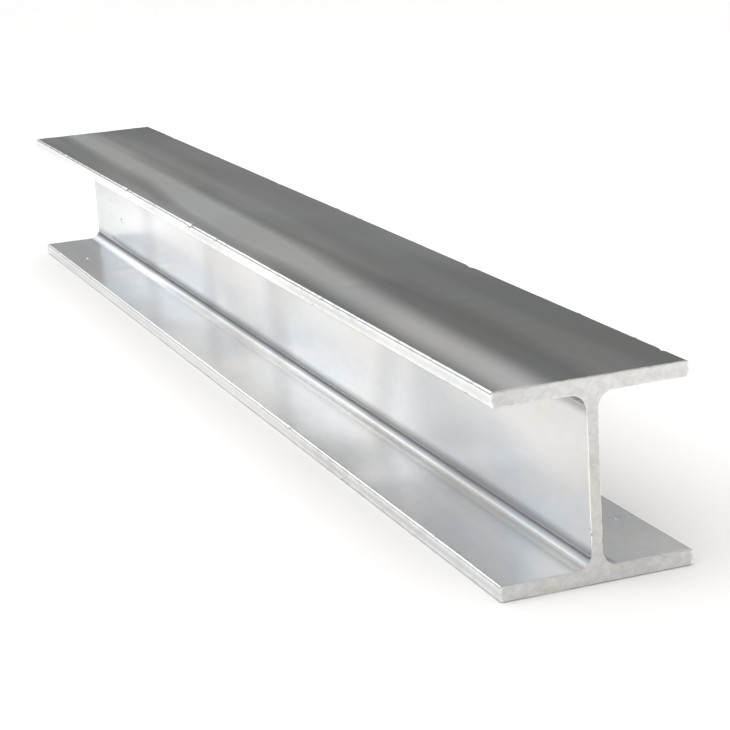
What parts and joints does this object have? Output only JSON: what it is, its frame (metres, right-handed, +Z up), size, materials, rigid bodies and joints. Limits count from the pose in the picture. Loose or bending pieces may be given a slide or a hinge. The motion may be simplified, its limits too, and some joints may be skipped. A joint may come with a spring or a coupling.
{
  "type": "steel h-beam",
  "caption": "Short sawn length of hot-rolled wide-flange steel beam with a zinc-bright finish: two wide flanges joined by a filleted web, with square open ends.",
  "frame": {"origin": "middle of the underside of the bottom flange, halfway along the beam", "axes": "+Z up from the bottom flange to the top flange, +Y along the beam, +X out to the right across the flanges"},
  "size_m": [0.1, 0.95, 0.1],
  "materials": {
    "galvanised_steel": "hot-dip galvanised, semi-gloss, faintly streaked along the length, paler on the sawn ends"
  },
  "bodies": {
    "root": {"h_beam": "galvanised_steel"}
  },
  "joints": []
}
